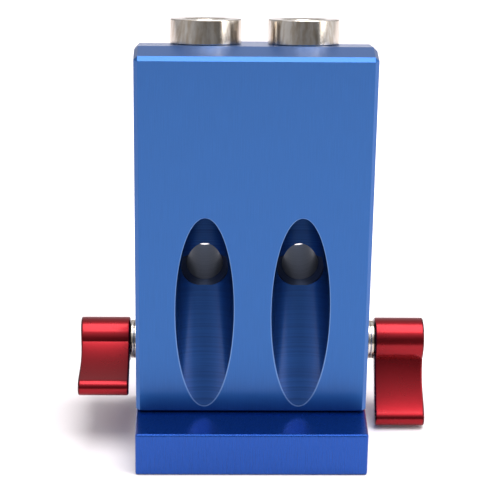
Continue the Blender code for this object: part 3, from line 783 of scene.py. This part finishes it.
# %% [markdown]
# ## Return springs
#
# Under the head of each lever's screw sits a small spring that pushes the lever back on to its
# teeth. A curve with a round bevel would draw it as well, but a tube worked out on a grid shares
# its functions with the other pieces. A spring crosses the joint between the stud, which holds
# the screw head at its outer end, and the lever, which carries its inner end. Here it is made in
# place at rest, and is attached to neither body.

# %% Make the springs
wire_radius, coil_radius, coil_turns, flat_turns = 0.3, 2.8, 3.5, 0.5
spring_low, spring_high = 6.9, 11.3
path_steps, wire_steps = 225, 16


def spring(side, sign):
    """Round wire swept along a helix with closed ends.

    P(a, v) = (x(a), R cos a, R sin a) + w * (cos v * n + sin v * b), with x(a) rising only between
    the closed ends, n = (0, cos a, sin a) and b = n x t, where t is the direction of the helix.
    """
    base = half_width + backed_off[side]
    low, high = base + spring_low, base + spring_high
    turn = np.linspace(0, coil_turns, path_steps)
    rise = np.clip((turn - flat_turns) / (coil_turns - 2 * flat_turns), 0, 1)
    angle = turn * math.tau
    nothing = np.zeros_like(angle)
    out = np.stack((nothing, np.cos(angle), np.sin(angle)), axis=1)
    path = out * coil_radius + np.stack((low + (high - low) * rise, nothing, nothing), axis=1)
    along = np.gradient(path, axis=0)
    along /= np.linalg.norm(along, axis=1)[:, None]
    beside = np.cross(out, along)
    v = np.append(np.linspace(0, math.tau, wire_steps + 1)[:-1], 0)[None, :, None]
    tube = path[:, None] + wire_radius * (np.cos(v) * out[:, None] + np.sin(v) * beside[:, None])
    start, end = (np.repeat(path[i][None, None], wire_steps + 1, axis=1) for i in (0, -1))
    grid = np.concatenate((start, tube, end)) * (sign, sign, 1) + (0, clamp_y, clamp_z)
    piece = grid_mesh("spring_" + side, [grid * mm], wire)
    outer, inner = high - wire_radius, low + wire_radius
    start, end = ((sign * x * mm, clamp_y * mm, clamp_z * mm) for x in (outer, inner))
    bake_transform(piece)
    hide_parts("lever_spring_" + side)


spring("left", -1)
spring("right", 1)

# %% [markdown]
# ## The floor
#
# The jig stands on white paper, which takes a soft shadow and runs into the white background. A
# curved backdrop would do, but it would stand in the way of a view from behind. So the floor is
# flat, and it fades out between 0.6 and 1.3 m from the jig, far outside the photograph.

# %% Lay the paper
fibre_size, fade_start, fade_end, floor_reach = (1.25,) * 3, 600, 1300, 6.0


def white_paper():
    """Uncoated paper: diffuse, almost white, with a faint fibre and a faint pink of painted bounce
    light.
    """
    material, tree = blank("white_paper")
    fibre = grain(tree, fibre_size, 3.0)
    relief = add(tree, "Bump", {"Height": fibre, "Strength": 0.05, "Distance": 0.00005})
    # Painted bounce light: the faint pink in both colours stands for red light thrown from the
    # levers into the shadows.
    colour = tint(tree, fibre, 0, 1, linear("#F1EBEC"), linear("#F5EFF0"))
    paper = {"Base Color": colour, "Roughness": 0.9, "Normal": relief}
    away = add(tree, "VectorMath", {0: in_millimetres(tree), 1: (1, 1, 0)}, **times)
    away = add(tree, "VectorMath", {0: away}, operation="LENGTH")
    far = zone(tree, (away, fade_start, fade_end))
    layers = {0: far, 1: add(tree, "BsdfPrincipled", paper), 2: add(tree, "BsdfTransparent")}
    add(tree, "OutputMaterial", {"Surface": add(tree, "MixShader", layers)})
    return material


floor_mesh = bpy.data.meshes.new("floor")
corners = [(x * floor_reach, y * floor_reach, 0) for x, y in ((-1, -1), (1, -1), (1, 1), (-1, 1))]
floor_mesh.from_pydata(corners, [], [(0, 1, 2, 3)])
floor_mesh.materials.append(white_paper())
floor = bpy.data.objects.new("floor", floor_mesh)
scene.collection.objects.link(floor)
print("floor", 2 * floor_reach, "m wide")

# %% [markdown]
# ## The lights
#
# The photograph is a bright studio shot. A large soft light hangs over the jig and a little to
# its right, which brightens the slope and the tops and throws the shadow to the left, and a
# smaller one at the right opens the shadows. Lamps with hard edges would draw sharp spots on the
# polished levers, so both are wide area lights.

# %% Hang the soft lights
def soft_light(name, place, target, width, depth, power):
    """A rectangular area light turned to its target, sizes in metres and power in watts."""
    data = bpy.data.lights.new(name, "AREA")
    data.energy = power
    data.shape = "RECTANGLE"
    data.size, data.size_y = width, depth
    light = bpy.data.objects.new(name, data)
    scene.collection.objects.link(light)
    light.location = place
    light.rotation_euler = (Vector(target) - Vector(place)).to_track_quat("-Z", "Y").to_euler()


soft_light("overhead_softbox", (0.2, -0.03, 0.95), (0.2, -0.03, 0.05), 0.9, 0.8, 11.5)
soft_light("right_softbox", (0.9, -0.35, 0.5), (0, 0, 0.06), 0.5, 0.5, 3.0)

# %% [markdown]
# ## The room
#
# Metal shows little but what it mirrors, so the room matters as much as the lamps. It could be a
# picture of a real studio. Here it is drawn with nodes: walls whose brightness changes with the
# compass angle, dark behind the camera and bright at the right, which gives the metal its bands,
# and a pale ceiling that is brightest over the front. The camera itself sees plain white.

# %% Draw the room
# Brightness of the walls by angle in degrees: 0 lies behind the camera, 90 to the right.
walls = {
    -175: 0.68, -150: 0.5, -130: 0.42, -112: 0.4, -80: 0.58, -56: 0.52, -34: 0.35, -18: 0.26,
    7: 0.2, 27: 0.26, 42: 0.1, 59: 0.09, 72: 0.45, 82: 0.9, 95: 1.0, 120: 0.6, 150: 0.55, 175: 0.68,
}
front_ceiling, rear_ceiling = (1.15, 1.15, 1.18, 1), (0.7, 0.7, 0.72, 1)

world = bpy.data.worlds.new("studio")
scene.world = world
world.use_nodes = True
tree = world.node_tree
tree.nodes.clear()
direction = add(tree, "TexCoord").outputs["Generated"]
x, y, z = add(tree, "SeparateXYZ", {"Vector": direction}).outputs
to_front = add(tree, "Math", {0: y, 1: -1.0}, **times)
angle = add(tree, "Math", {0: x, 1: to_front}, operation="ARCTAN2")
angle = add(tree, "Math", {0: angle, 1: 1 / math.tau, 2: 0.5}, **times_plus)
around = add(tree, "ValToRGB", {"Fac": angle})
stops = around.color_ramp.elements
while len(stops) < len(walls):
    stops.new(0.5)
for stop, (degrees, value) in zip(stops, walls.items()):
    stop.position = degrees / 360 + 0.5
    stop.color = (value, value, value * 1.02, 1)
rear = zone(tree, (y, 0.2, 0.6))
ceiling = add(tree, "Mix", {"Factor": rear, "A": front_ceiling, "B": rear_ceiling}, **colours)
high = zone(tree, (z, 0.46, 0.88))
room = add(tree, "Mix", {"Factor": high, "A": around, "B": ceiling}, **colours)
seen = add(tree, "LightPath").outputs["Is Camera Ray"]
shown = add(tree, "Mix", {"Factor": seen, "A": room, "B": (1, 1, 1, 1)}, **colours)
background = add(tree, "Background", {"Color": shown, "Strength": 1.0})
add(tree, "OutputWorld", {"Surface": background})
print("room:", len(stops), "wall stops")

# %% [markdown]
# ## Update the scene
#
# The view layer is updated once more at the end.

# %% Update the scene
bpy.context.view_layer.update()
